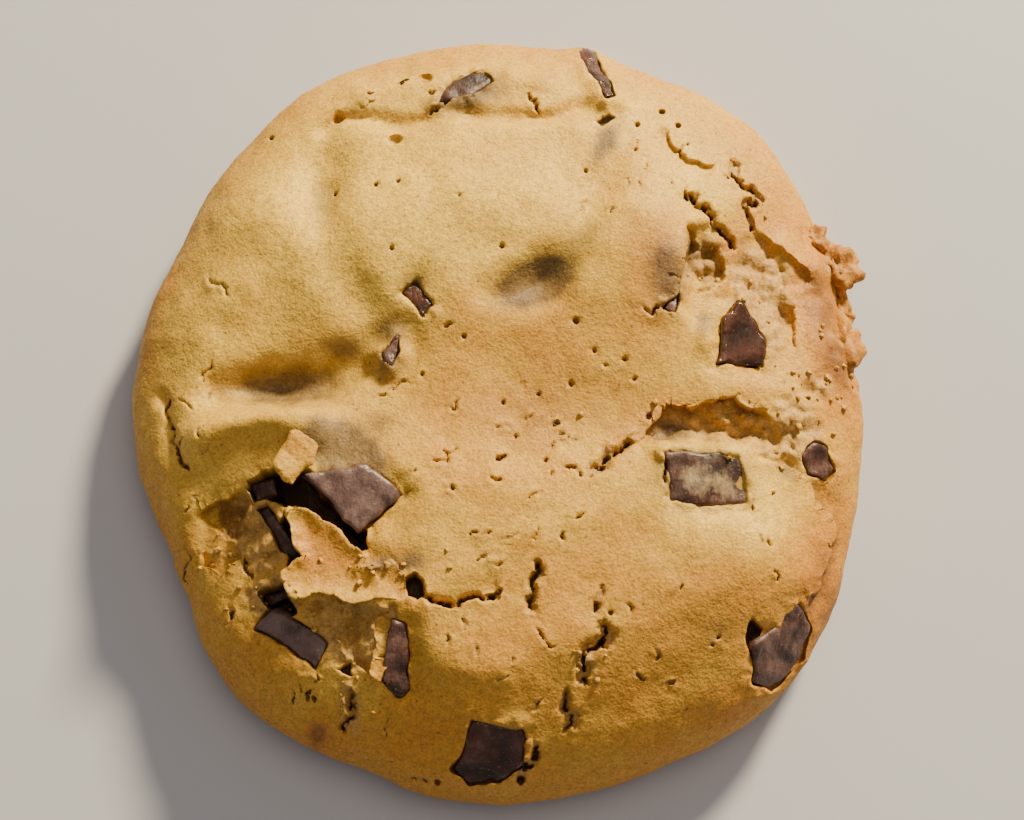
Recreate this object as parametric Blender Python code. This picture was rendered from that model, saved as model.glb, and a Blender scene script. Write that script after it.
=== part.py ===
"""Chocolate chip cookie: one thick, domed body of baked dough with chocolate chunks set in it.

Blender 4.5, metres, +Z up. The cookie lies on its flat base at z = 0, with the middle of its
box on the origin. Tables are in millimetres, seen from above with +X right and +Y up.
"""

import math

import bmesh
import bpy
import numpy as np

MM = 0.001

# Driving dimensions, in millimetres
WIDTH = 89.0
LENGTH = 94.5
EDGE_HEIGHT = 5.5
DOME_HEIGHT = 18.3
BASE_TUCK = 2.6
DOME_SQUARENESS = 3.0
SHOULDER_ROUNDNESS = 1.8
CHUNK_GAP = 0.3

# Mesh density
CELLS = 42
RIM_CROWDING = 1.35
SIDE_STEPS = 4

# The outline bulges and dips in places: angle from +X in degrees, millimetres out, half width
RIM_SWELLS = (
    (48.0, 2.2, 15.0),
    (12.0, -0.9, 9.0),
    (23.5, 0.7, 3.0),
    (119.0, 0.9, 9.0),
    (153.0, -0.7, 12.0),
    (205.0, -2.1, 12.0),
    (230.0, 0.8, 7.0),
    (251.0, -0.7, 9.0),
    (318.0, 2.4, 21.0),
)

# Swells and hollows of the top: centre x, y, radii along and across, turn, height
SWELLS = (
    (8.0, -27.0, 30.0, 15.0, 0.0, 1.7),
    (26.0, -20.0, 13.0, 10.0, -15.0, 1.2),
    (-8.0, -34.0, 12.0, 8.0, 0.0, 0.8),
    (-27.0, -2.2, 8.0, 2.8, 4.0, 1.8),
    (-37.4, -13.0, 3.0, 4.5, 0.0, 1.6),
    (-26.0, 19.0, 8.0, 8.0, 0.0, 0.8),
    (17.5, 14.0, 6.0, 8.0, 0.0, 1.3),
    (25.5, 29.0, 4.0, 2.5, -45.0, 0.8),
    (-2.0, 3.0, 22.0, 16.0, 0.0, -1.6),
    (-27.0, 6.5, 6.5, 4.0, 0.0, -1.7),
    (-21.5, 2.0, 3.0, 2.2, 0.0, -0.9),
    (-21.0, 22.5, 2.8, 5.0, 10.0, -0.9),
    (31.0, 13.0, 5.0, 9.0, 0.0, -2.4),
    (24.0, -2.8, 8.0, 3.0, 8.0, -3.8),
    (-25.0, -24.0, 8.0, 8.0, 0.0, -2.0),
    (-27.5, -14.5, 4.0, 5.5, 20.0, -5.0),
    (-32.0, -14.5, 2.8, 3.6, 0.0, -2.6),
    (-26.0, -24.0, 3.0, 2.0, 0.0, -3.0),
    (-16.5, -29.0, 6.0, 4.5, -30.0, -2.0),
)

# Creases and open cracks of the top: half width, depth, then the points they run through
GROOVES = (
    (1.3, 1.5, ((-20, 35.4), (-14, 37.2), (-9.5, 35.8), (0, 36.4), (5.5, 35.6), (11, 37.2))),
    (0.9, 2.4, ((22.2, 25.3), (25.6, 22.1), (28.1, 19.4), (28.0, 17.8))),
    (0.9, 2.0, ((28.7, 31.2), (30.2, 27.1), (31.4, 25.0), (30.2, 23.5), (31.0, 19.4))),
    (0.9, 1.2, ((20.1, 36.5), (21.2, 33.7), (22.9, 30.9), (26.9, 29.7))),
    (1.1, 1.6, ((21.8, 20.1), (22.0, 16.0), (21.7, 11.8))),
    (1.3, 1.9, ((29.5, -7.0), (33.8, -8.2), (35.7, -10.6), (38.3, -12.4), (40.4, -15.0))),
    (1.5, 1.6, ((-15.5, -19.3), (-11.7, -20.4), (-8.0, -18.9))),
    (0.8, 1.2, ((-9.0, -23.7), (-4.6, -25.4), (1.5, -23.3))),
    (0.9, 1.6, ((-15.5, -34.2), (-16.5, -36.6), (-18.1, -40.2))),
)

# A flap of crust torn up at the broken corner: its corners and the height of its top
FLAP_CORNERS = ((-24.2, -14.4), (-20.3, -15.8), (-15.3, -19.6), (-10.9, -21.0), (-11.0, -24.0),
                (-17.0, -24.6), (-23.8, -24.0), (-24.0, -21.5), (-21.9, -19.4))
FLAP_HEIGHT = 17.6
FLAP_EDGE = 1.2

# Chunks: name, how far the top stands above the plain dome, thickness, extra lean along x and y,
# then the corners of the top face, anticlockwise
CHUNKS = (
    ("chunk_west", 0.5, 5.5, -0.2, 0.06,
     ((-22.3, -10.2), (-15.8, -16.9), (-10.9, -12.4), (-15.1, -9.0))),
    ("chunk_west_under_lip", -2.6, 3.0, -0.1, 0.0,
     ((-29.2, -10.4), (-28.4, -12.6), (-25.6, -11.8), (-26.2, -9.6))),
    ("chunk_west_strip", -2.0, 3.0, -0.1, 0.0,
     ((-28.0, -13.6), (-25.2, -18.6), (-23.0, -19.6), (-25.6, -14.4), (-26.8, -13.0))),
    ("chunk_south_west", -0.2, 4.0, 0.0, -0.1,
     ((-28.3, -27.6), (-21.0, -32.2), (-19.4, -29.4), (-26.3, -25.3))),
    ("chunk_south_slab", 0.9, 4.5, -0.1, 0.0,
     ((-13.2, -33.6), (-11.2, -35.4), (-10.0, -34.6), (-10.2, -27.4), (-12.0, -26.9))),
    ("chunk_south", 0.5, 4.5, 0.0, 0.0,
     ((-5.2, -43.6), (-3.0, -45.3), (0.2, -45.0), (3.0, -43.2), (3.6, -40.2), (3.0, -39.2),
      (-2.8, -38.2), (-3.4, -41.0))),
    ("chunk_south_east", 1.0, 6.0, 0.0, 0.0,
     ((29.8, -29.6), (29.9, -33.6), (32.2, -34.4), (36.2, -30.6), (37.0, -27.0), (35.2, -24.4))),
    ("chunk_east_filmed", 0.9, 4.5, 0.0, 0.0,
     ((19.4, -7.6), (20.0, -13.4), (29.0, -13.4), (28.2, -7.8))),
    ("chunk_east", -0.2, 6.0, 0.0, 0.08,
     ((25.9, 3.4), (31.6, 3.4), (32.0, 6.6), (28.8, 11.2), (26.8, 9.0), (26.6, 6.2))),
    ("chunk_north_strip", 0.4, 3.0, 0.0, 0.0,
     ((10.2, 45.2), (10.8, 42.8), (13.2, 37.0), (14.3, 37.6), (12.8, 42.2), (12.2, 45.2),
      (11.2, 46.0))),
    ("chunk_east_rim", 0.3, 4.0, 0.0, 0.0,
     ((36.0, -7.2), (36.8, -9.2), (39.0, -9.6), (40.2, -8.4), (39.2, -5.8), (37.6, -5.4))),
    ("chunk_centre_upper", -0.9, 3.5, 0.0, 0.0,
     ((-11.3, 12.0), (-8.8, 8.9), (-7.6, 10.2), (-9.6, 13.3))),
    ("chunk_centre_lower", -1.1, 3.5, 0.0, 0.0,
     ((-13.6, 4.6), (-12.4, 3.1), (-11.5, 4.8), (-11.7, 6.7))),
    ("chunk_north_filmed", 0.2, 3.5, 0.0, 0.0,
     ((-7.6, 36.4), (-3.0, 37.6), (-0.6, 39.6), (-1.8, 41.4), (-4.4, 40.2))),
    ("chunk_north_east_tip", 0.1, 3.5, 0.0, 0.0,
     ((19.7, 9.8), (20.9, 9.3), (21.6, 12.8))),
    ("chunk_hole", -3.6, 2.5, -0.2, 0.0,
     ((-27.6, -23.4), (-26.6, -24.6), (-23.8, -23.6), (-24.8, -22.6))),
)

CHUNK_EDGE = 0.35
CUTTER_RISE = 6.0

DOUGH_COLOUR = (0.55, 0.33, 0.12, 1.0)
CHOCOLATE_COLOUR = (0.045, 0.02, 0.014, 1.0)


def clear_scene():
    for thing in list(bpy.data.objects):
        bpy.data.objects.remove(thing, do_unlink=True)


def make_material(name, colour, roughness):
    material = bpy.data.materials.new(name)
    material.use_nodes = True
    shader = material.node_tree.nodes["Principled BSDF"]
    shader.inputs["Base Color"].default_value = colour
    shader.inputs["Roughness"].default_value = roughness
    shader.inputs["Metallic"].default_value = 0.0
    return material


def raw_radius(angle):
    """Radius of the outline at an angle, before it is fitted to the driving width and length."""
    half_width = WIDTH / 2
    half_length = LENGTH / 2
    radius = 1 / np.hypot(np.cos(angle) / half_width, np.sin(angle) / half_length)
    for centre, amount, spread in RIM_SWELLS:
        away = (np.degrees(angle) - centre + 180) % 360 - 180
        radius = radius + amount * np.exp(-(away / spread) ** 2)
    return radius


def outline_fit():
    """Scale and shift that bring the outline's box to the driving width and length."""
    angle = np.linspace(0, 2 * math.pi, 720, endpoint=False)
    x = raw_radius(angle) * np.cos(angle)
    y = raw_radius(angle) * np.sin(angle)
    scale_x = WIDTH / (x.max() - x.min())
    scale_y = LENGTH / (y.max() - y.min())
    return scale_x, scale_y, (x.max() + x.min()) / 2, (y.max() + y.min()) / 2


FIT = outline_fit()


def outline_point(angle, share):
    """A point at a share of the way from the middle out to the outline."""
    scale_x, scale_y, middle_x, middle_y = FIT
    x = (raw_radius(angle) * np.cos(angle) - middle_x) * scale_x
    y = (raw_radius(angle) * np.sin(angle) - middle_y) * scale_y
    return x * share, y * share


def outline_share(x, y):
    """How far out a point lies: 0 in the middle, 1 on the outline."""
    angle = np.arctan2(y, x)
    rim_x, rim_y = outline_point(angle, 1.0)
    return np.minimum(1.0, np.hypot(x, y) / np.hypot(rim_x, rim_y))


def swell(x, y, centre_x, centre_y, along, across, turn):
    """A round-topped swell that is 1 in its middle and fades out over its radii."""
    turn = math.radians(turn)
    right = (x - centre_x) * math.cos(turn) + (y - centre_y) * math.sin(turn)
    up = (y - centre_y) * math.cos(turn) - (x - centre_x) * math.sin(turn)
    return np.exp(-(right / along) ** 2 - (up / across) ** 2)


def path_distance(x, y, points):
    """Distance from each place to the nearest part of a path of straight runs."""
    nearest = np.full(np.shape(x), 1e9)
    for (ax, ay), (bx, by) in zip(points, points[1:]):
        run = (bx - ax) ** 2 + (by - ay) ** 2
        along = np.clip(((x - ax) * (bx - ax) + (y - ay) * (by - ay)) / run, 0, 1)
        away = np.hypot(x - ax - along * (bx - ax), y - ay - along * (by - ay))
        nearest = np.minimum(nearest, away)
    return nearest


def inside(x, y, corners):
    """True where a place lies inside a closed outline of straight sides."""
    hit = np.zeros(np.shape(x), dtype=bool)
    for (ax, ay), (bx, by) in zip(corners, corners[1:] + corners[:1]):
        crosses = (ay > y) != (by > y)
        level = ax + (bx - ax) * (y - ay) / (by - ay if by != ay else 1e-9)
        hit ^= crosses & (x < level)
    return hit


def flap_share(x, y):
    """1 on the torn flap, falling to 0 over its edge."""
    away = path_distance(x, y, FLAP_CORNERS + FLAP_CORNERS[:1])
    away = np.where(inside(x, y, FLAP_CORNERS), 0, away)
    return np.clip(1 - away / FLAP_EDGE, 0, 1)


def dome_share(x, y):
    """1 over the flat middle of the plain dome, falling to 0 at the rim."""
    return (1 - outline_share(x, y) ** DOME_SQUARENESS) ** (1 / SHOULDER_ROUNDNESS)


def dome_height(x, y):
    """Height of the plain dome, in millimetres."""
    return EDGE_HEIGHT + (DOME_HEIGHT - EDGE_HEIGHT) * dome_share(x, y)


def top_height(x, y):
    """Height of the dough's top with its swells, hollows, creases and torn flap."""
    relief = np.zeros(np.shape(x))
    for centre_x, centre_y, along, across, turn, amount in SWELLS:
        relief = relief + amount * swell(x, y, centre_x, centre_y, along, across, turn)
    for half_width, depth, points in GROOVES:
        relief = relief - depth * np.exp(-(path_distance(x, y, points) / half_width) ** 2)
    height = dome_height(x, y) + relief * np.minimum(1, 3 * dome_share(x, y))
    flap = flap_share(x, y)
    return height + (np.maximum(height, FLAP_HEIGHT) - height) * flap


def grid_to_disc(x, y):
    """Spread a square grid over the outline, with its rows closer together near the rim."""
    round_x = x * np.sqrt(1 - y * y / 2)
    round_y = y * np.sqrt(1 - x * x / 2)
    share = np.minimum(1.0, np.hypot(round_x, round_y))
    share = 1 - (1 - share) ** RIM_CROWDING
    return outline_point(np.arctan2(round_y, round_x), share)


def shape_top(mesh):
    flat = np.array([vertex.co[:2] for vertex in mesh.verts])
    x, y = grid_to_disc(flat[:, 0], flat[:, 1])
    height = top_height(x, y)
    for vertex, place in zip(mesh.verts, zip(x * MM, y * MM, height * MM)):
        vertex.co = place


def close_side(mesh):
    """Bring the rim down and in to the flat base, and close the base with one face."""
    rim = [edge for edge in mesh.edges if edge.is_boundary]
    for step in range(1, SIDE_STEPS + 1):
        fall = math.radians(90 * step / SIDE_STEPS)
        level = EDGE_HEIGHT * (1 - math.sin(fall))
        made = bmesh.ops.extrude_edge_only(mesh, edges=rim)["geom"]
        rim = [item for item in made if isinstance(item, bmesh.types.BMEdge)]
        ring = [item for item in made if isinstance(item, bmesh.types.BMVert)]
        for vertex in ring:
            x, y = outline_point(math.atan2(vertex.co.y, vertex.co.x), 1.0)
            tuck = BASE_TUCK * (1 - math.cos(fall)) / math.hypot(x, y)
            vertex.co = (x * (1 - tuck) * MM, y * (1 - tuck) * MM, level * MM)
    bmesh.ops.contextual_create(mesh, geom=rim)
    bmesh.ops.recalc_face_normals(mesh, faces=mesh.faces)


def make_object(name, mesh, material):
    data = bpy.data.meshes.new(name)
    mesh.to_mesh(data)
    mesh.free()
    data.shade_smooth()
    data.set_sharp_from_angle(angle=math.radians(40))
    thing = bpy.data.objects.new(name, data)
    bpy.context.scene.collection.objects.link(thing)
    if material:
        data.materials.append(material)
    return thing


def make_dough(material):
    mesh = bmesh.new()
    bmesh.ops.create_grid(mesh, x_segments=CELLS, y_segments=CELLS, size=1.0)
    shape_top(mesh)
    close_side(mesh)
    return make_object("dough", mesh, material)


def chunk_mesh(rise, thickness, lean_x, lean_y, corners, lift=0.0):
    """A block whose top face leans with the dome, with all its edges softened."""
    middle_x = sum(x for x, y in corners) / len(corners)
    middle_y = sum(y for x, y in corners) / len(corners)
    reach = 2.0
    around = np.array([(0, 0), (reach, 0), (-reach, 0), (0, reach), (0, -reach)])
    level = dome_height(middle_x + around[:, 0], middle_y + around[:, 1])
    slope_x = (level[1] - level[2]) / (2 * reach) + lean_x
    slope_y = (level[3] - level[4]) / (2 * reach) + lean_y
    top = level[0] + rise
    mesh = bmesh.new()
    ring = []
    for x, y in corners:
        height = top + slope_x * (x - middle_x) + slope_y * (y - middle_y)
        ring.append(mesh.verts.new((x * MM, y * MM, height * MM)))
    face = mesh.faces.new(ring)
    face.normal_update()
    outward = face.normal.copy()
    bmesh.ops.translate(mesh, verts=ring, vec=outward * lift * MM)
    made = bmesh.ops.extrude_face_region(mesh, geom=[face])["geom"]
    lower = [item for item in made if isinstance(item, bmesh.types.BMVert)]
    bmesh.ops.translate(mesh, verts=lower, vec=-outward * (thickness + lift) * MM)
    bmesh.ops.recalc_face_normals(mesh, faces=mesh.faces)
    bmesh.ops.bevel(mesh, geom=mesh.edges[:], offset=CHUNK_EDGE * MM, segments=1, profile=0.5,
                    affect="EDGES", material=-1)
    return mesh


def grow(mesh, amount):
    """Move every face out, so that the block clears the piece it is cut for."""
    mesh.normal_update()
    moves = [vertex.normal * amount * vertex.calc_shell_factor() for vertex in mesh.verts]
    for vertex, move in zip(mesh.verts, moves):
        vertex.co += move


def cut_socket(dough, name, sizes):
    mesh = chunk_mesh(*sizes, lift=CUTTER_RISE)
    grow(mesh, CHUNK_GAP * MM)
    cutter = make_object("cutter_" + name, mesh, None)
    cutter.hide_render = True
    cutter.display_type = "WIRE"
    cut = dough.modifiers.new("socket_" + name, "BOOLEAN")
    cut.operation = "DIFFERENCE"
    cut.solver = "EXACT"
    cut.object = cutter


def main():
    clear_scene()
    crust = make_material("baked_dough", DOUGH_COLOUR, 0.8)
    chocolate = make_material("chocolate", CHOCOLATE_COLOUR, 0.4)
    dough = make_dough(crust)
    for name, *sizes in CHUNKS:
        make_object(name, chunk_mesh(*sizes), chocolate)
        cut_socket(dough, name, sizes)


main()
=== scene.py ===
# %% [markdown]
# # A thick chocolate chip cookie, dressed around its frame
# The frame holds the plain solids of one cookie: a baked dough body and the chunks of
# chocolate that show in its top. This lesson gives each of them the surface of the real
# food. The solids could be shown with better materials alone, but a baked crust has thin
# cracks, torn edges and crumbs that a light solid can't carry, so every piece is remade
# finer in the same place, and the solids stay behind for the collisions.

# %% Load the frame
import math
import random

import bmesh
import bpy
import numpy as np
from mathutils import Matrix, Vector, noise
from mathutils.bvhtree import BVHTree


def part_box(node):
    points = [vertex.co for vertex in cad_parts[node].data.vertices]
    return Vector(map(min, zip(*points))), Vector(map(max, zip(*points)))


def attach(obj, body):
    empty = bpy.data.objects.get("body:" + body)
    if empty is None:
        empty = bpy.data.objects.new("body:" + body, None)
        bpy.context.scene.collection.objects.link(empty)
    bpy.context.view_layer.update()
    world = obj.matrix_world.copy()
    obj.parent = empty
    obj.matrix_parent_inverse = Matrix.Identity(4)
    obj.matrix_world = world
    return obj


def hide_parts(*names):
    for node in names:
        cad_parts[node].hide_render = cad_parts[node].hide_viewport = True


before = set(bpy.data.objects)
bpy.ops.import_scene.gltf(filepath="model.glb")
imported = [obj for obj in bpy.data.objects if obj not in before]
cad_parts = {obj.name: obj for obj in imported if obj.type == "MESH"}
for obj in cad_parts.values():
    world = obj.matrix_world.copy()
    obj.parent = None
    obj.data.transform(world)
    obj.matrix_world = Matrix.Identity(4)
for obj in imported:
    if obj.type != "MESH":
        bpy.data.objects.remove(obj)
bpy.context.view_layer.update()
MM = 0.001
print("nodes:", ", ".join(sorted(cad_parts)))

# %% [markdown]
# ## Camera, floor and light
# A camera could be moved by hand until the view looks right. Here it is worked out: it
# looks at a point near the middle of the cookie from a steep angle, far enough away that
# the round outline isn't stretched. One lamp low on the far side makes the long soft
# shades that show the bumps, and a pale sky fills the rest.

# %% Camera
LOOK_AT = Vector((1.83, 0.05, 6.0)) * MM
CAMERA_RISE = math.radians(78.0)
CAMERA_DISTANCE = 277.5 * MM
CAMERA_LENS = 80.0

def aim(thing, target):
    thing.rotation_euler = (target - thing.location).to_track_quat("-Z", "Y").to_euler()

def link(thing):
    bpy.context.scene.collection.objects.link(thing)
    return thing

camera_data = bpy.data.cameras.new("camera")
camera_data.lens = CAMERA_LENS
camera_data.clip_start = 0.01
camera = link(bpy.data.objects.new("camera", camera_data))
camera.location = LOOK_AT + CAMERA_DISTANCE * Vector((0, -math.cos(CAMERA_RISE), math.sin(CAMERA_RISE)))
aim(camera, LOOK_AT)
bpy.context.scene.camera = camera
print("camera at", [round(value, 3) for value in camera.location])

# %% Floor and light
def new_object(name, mesh, *materials):
    data = bpy.data.meshes.new(name)
    mesh.to_mesh(data)
    mesh.free()
    data.shade_smooth()
    for material in materials:
        data.materials.append(material)
    return link(bpy.data.objects.new(name, data))

def lamp(name, turn, rise, distance, size, power, colour):
    """A round soft lamp: turn is its compass angle from +X, rise its angle above the floor."""
    data = bpy.data.lights.new(name, "AREA")
    data.shape = "DISK"
    data.size = size
    data.energy = power
    data.color = colour
    thing = link(bpy.data.objects.new(name, data))
    turn, rise = math.radians(turn), math.radians(rise)
    thing.location = distance * Vector((math.cos(turn) * math.cos(rise), math.sin(turn) * math.cos(rise),
                                        math.sin(rise)))
    aim(thing, Vector((0, 0, 0.01)))

def plain_floor():
    mesh = bmesh.new()
    bmesh.ops.create_grid(mesh, x_segments=1, y_segments=1, size=1.0)
    material = bpy.data.materials.new("floor_pale")
    material.use_nodes = True
    shader = material.node_tree.nodes["Principled BSDF"]
    shader.inputs["Base Color"].default_value = (0.52, 0.52, 0.60, 1)
    shader.inputs["Roughness"].default_value = 0.6
    new_object("floor", mesh, material)

plain_floor()
lamp("window_far_side", 60, 29, 0.9, 0.16, 25.0, (1.0, 0.86, 0.54))
lamp("ceiling_soft", 40, 75, 1.0, 0.7, 2.0, (1.0, 0.84, 0.60))
world = bpy.data.worlds.new("soft_room")
world.use_nodes = True
world.node_tree.nodes["Background"].inputs["Color"].default_value = (0.92, 0.90, 0.84, 1)
world.node_tree.nodes["Background"].inputs["Strength"].default_value = 0.28
bpy.context.scene.world = world

# %% [markdown]
# ## The dough's outline and dome
# The dough is round only at first sight. Its edge swells and dips where the ball of dough
# spread unevenly, so the outline is an oval plus a few named swells. The top is a dome
# with square shoulders, which one power curve gives.

# %% Outline and dome
dough_low, dough_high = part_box("dough")
WIDTH = (dough_high[0] - dough_low[0]) / MM
LENGTH = (dough_high[1] - dough_low[1]) / MM
EDGE_HEIGHT = 5.5
DOME_HEIGHT = 18.3
BASE_TUCK = 2.6
DOME_SQUARENESS = 3.0
SHOULDER_ROUNDNESS = 1.8

# angle from +X in degrees, millimetres out, half width in degrees
RIM_SWELLS = (
    (48.0, 2.2, 15.0), (12.0, -0.9, 9.0), (23.5, 0.7, 3.0), (119.0, 0.9, 9.0), (153.0, -0.7, 12.0),
    (205.0, -2.1, 12.0), (230.0, 0.8, 7.0), (251.0, -0.7, 9.0), (318.0, 2.4, 21.0),
)

def raw_radius(angle):
    radius = 1 / np.hypot(np.cos(angle) / (WIDTH / 2), np.sin(angle) / (LENGTH / 2))
    for centre, amount, spread in RIM_SWELLS:
        away = (np.degrees(angle) - centre + 180) % 360 - 180
        radius = radius + amount * np.exp(-(away / spread) ** 2)
    return radius

def outline_fit():
    angle = np.linspace(0, 2 * math.pi, 720, endpoint=False)
    x = raw_radius(angle) * np.cos(angle)
    y = raw_radius(angle) * np.sin(angle)
    return (WIDTH / (x.max() - x.min()), LENGTH / (y.max() - y.min()),
            (x.max() + x.min()) / 2, (y.max() + y.min()) / 2)

FIT = outline_fit()

def outline_point(angle, share):
    scale_x, scale_y, middle_x, middle_y = FIT
    x = (raw_radius(angle) * np.cos(angle) - middle_x) * scale_x
    y = (raw_radius(angle) * np.sin(angle) - middle_y) * scale_y
    return x * share, y * share

def outline_share(x, y):
    rim_x, rim_y = outline_point(np.arctan2(y, x), 1.0)
    return np.minimum(1.0, np.hypot(x, y) / np.hypot(rim_x, rim_y))

def dome_share(x, y):
    return (1 - outline_share(x, y) ** DOME_SQUARENESS) ** (1 / SHOULDER_ROUNDNESS)

def dome_height(x, y):
    return EDGE_HEIGHT + (DOME_HEIGHT - EDGE_HEIGHT) * dome_share(x, y)

print("dough box: %.1f by %.1f mm" % (WIDTH, LENGTH))


# %% [markdown]
# ## Tools for sculpting by rule
# A sculptor pushes dough up, presses it down, tears it and lets it overhang. Each stroke is
# a small function of the place on the cookie: a soft swell, a distance to a path, or a
# distance to the edge of a patch. A torn edge starts as a few straight runs, and each run
# is broken in two again and again with the new point pushed aside, because a smooth wavy
# line looks drawn where real dough has cracked.

# %% Sculpting strokes
def ease(value, low, high):
    """0 below low, 1 above high, and a soft slope between them."""
    share = np.clip((value - low) / (high - low), 0, 1)
    return share * share * (3 - 2 * share)

def swell(x, y, centre_x, centre_y, along, across, turn):
    turn = math.radians(turn)
    right = (x - centre_x) * math.cos(turn) + (y - centre_y) * math.sin(turn)
    up = (y - centre_y) * math.cos(turn) - (x - centre_x) * math.sin(turn)
    return np.exp(-(right / along) ** 2 - (up / across) ** 2)

def jagged(points, push=0.15, times=3):
    """Break each run of a path in two at a point pushed aside, several times over."""
    luck = random.Random(round(1000 * (points[0][0] + 2 * points[0][1])))
    for _ in range(times):
        broken = [points[0]]
        for (ax, ay), (bx, by) in zip(points, points[1:]):
            aside = luck.uniform(-push, push)
            broken.append(((ax + bx) / 2 - aside * (by - ay), (ay + by) / 2 + aside * (bx - ax)))
            broken.append((bx, by))
        points = broken
    return points

def closed(corners):
    return tuple(corners) + (corners[0],)

def near(x, y, points, reach):
    """The places inside the box round some points, grown by reach."""
    low, high = np.min(points, axis=0) - reach, np.max(points, axis=0) + reach
    return np.flatnonzero((x > low[0]) & (x < high[0]) & (y > low[1]) & (y < high[1]))

class Path:
    """Distance to a path, the side each place lies on, and how far along it is."""

    def __init__(self, x, y, points):
        lengths = [math.dist(a, b) for a, b in zip(points, points[1:])]
        self.length = sum(lengths)
        self.distance = np.full(np.shape(x), 1e9)
        self.side = np.ones(np.shape(x))
        self.walked, self.out_x, self.out_y = np.zeros((3,) + np.shape(x))
        before = 0.0
        for (ax, ay), (bx, by), length in zip(points, points[1:], lengths):
            run_x, run_y = (bx - ax) / length, (by - ay) / length
            along = np.clip((x - ax) * run_x + (y - ay) * run_y, 0, length)
            away = np.hypot(x - ax - along * run_x, y - ay - along * run_y)
            closer = away < self.distance
            left = run_x * (y - ay) - run_y * (x - ax)
            self.distance = np.where(closer, away, self.distance)
            self.side = np.where(closer, np.sign(left), self.side)
            self.walked = np.where(closer, before + along, self.walked)
            self.out_x = np.where(closer, run_y, self.out_x)
            self.out_y = np.where(closer, -run_x, self.out_y)
            before += length

    def ends(self, taper):
        """1 along the path, falling to 0 over the last stretch at both ends."""
        return ease(self.walked, 0, taper) * ease(self.length - self.walked, 0, taper)

def patch_distance(x, y, ring):
    """Distance to the edge of a closed ring of corners, below 0 inside it."""
    inside = np.zeros(np.shape(x), dtype=bool)
    for (ax, ay), (bx, by) in zip(ring, ring[1:]):
        level = ax + (bx - ax) * (y - ay) / (by - ay if by != ay else 1e-9)
        inside ^= ((ay > y) != (by > y)) & (x < level)
    away = Path(x, y, ring).distance
    return np.where(inside, -away, away)

def noise_field(x, y, size, seed, octaves=2):
    """Soft noise from about -1 to 1 at each place, with bumps about as wide as size."""
    lift = seed * 17.31
    return np.array([noise.fractal(Vector((a / size, b / size, lift)), 1.0, 2.0, octaves)
                     for a, b in zip(x, y)])

def lump_field(x, y, size, seed):
    """Rounded lumps about as wide as size: 1 on their tops, near 0 in the gaps."""
    lift = seed * 17.31
    return np.array([1 - 1.4 * noise.voronoi(Vector((a / size, b / size, lift)))[0][0] ** 2
                     for a, b in zip(x, y)])

# %% [markdown]
# ## Where the dough swells, folds, tears and cracks
# These tables are the cookie's own map, in millimetres from its middle. Swells are round
# and wide, and rolls follow a path. Ledges are torn or folded lips, with the low ground on
# the right of the way their path runs. Gaps are places where a piece of crust is missing,
# flaps stand up flat between them, tears are cracks, and pores are single small holes.

# %% The cookie's wide forms
# centre x, y, radii along and across, turn, height
SWELLS = (
    (8.0, -25.0, 30.0, 13.0, 0.0, 2.2), (27.0, -19.0, 13.0, 8.0, -15.0, 2.2),
    (-24.0, 6.0, 10.0, 7.0, 0.0, -1.6), (-19.0, 20.5, 11.0, 5.5, 0.0, 1.1),
    (-3.0, -31.0, 8.0, 6.0, 0.0, 1.3), (-2.0, -15.5, 6.5, 5.0, 0.0, 1.3),
    (0.0, 21.0, 14.0, 8.0, 0.0, 0.9), (17.0, 18.0, 6.0, 7.0, 0.0, 2.0),
    (-16.0, 15.0, 7.0, 6.0, 0.0, 0.9), (-29.0, 22.0, 5.0, 5.0, 0.0, 1.1), (-31.0, 12.0, 5.0, 5.0, 0.0, 0.6),
    (-38.0, -13.5, 2.6, 4.5, 0.0, 1.4), (40.0, 7.0, 3.0, 5.0, 0.0, 1.2), (35.0, -1.5, 4.0, 3.0, 0.0, 0.8),
    (-26.5, -18.0, 2.8, 3.2, 0.0, 0.8), (25.4, 6.0, 1.4, 2.2, 10.0, 1.3),
    (4.0, -1.0, 17.0, 10.0, 0.0, -2.2), (-25.5, 1.2, 7.0, 3.0, 0.0, -3.0),
    (-21.0, 24.5, 3.0, 4.5, 10.0, -1.2), (5.2, 13.6, 3.4, 2.4, 30.0, -1.6), (-18.5, 3.8, 4.0, 2.6, 0.0, -1.2),
    (31.0, 13.0, 5.0, 8.0, 0.0, -2.6), (-13.0, -1.5, 6.0, 4.0, 0.0, -0.8), (-28.0, -17.0, 4.0, 6.0, 0.0, -2.2),
    (-33.0, -15.0, 3.0, 4.0, 0.0, -1.2), (-16.5, -29.0, 5.0, 4.0, -30.0, -1.0),
    (25.0, -3.2, 8.5, 3.2, 8.0, -1.0),
)

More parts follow.
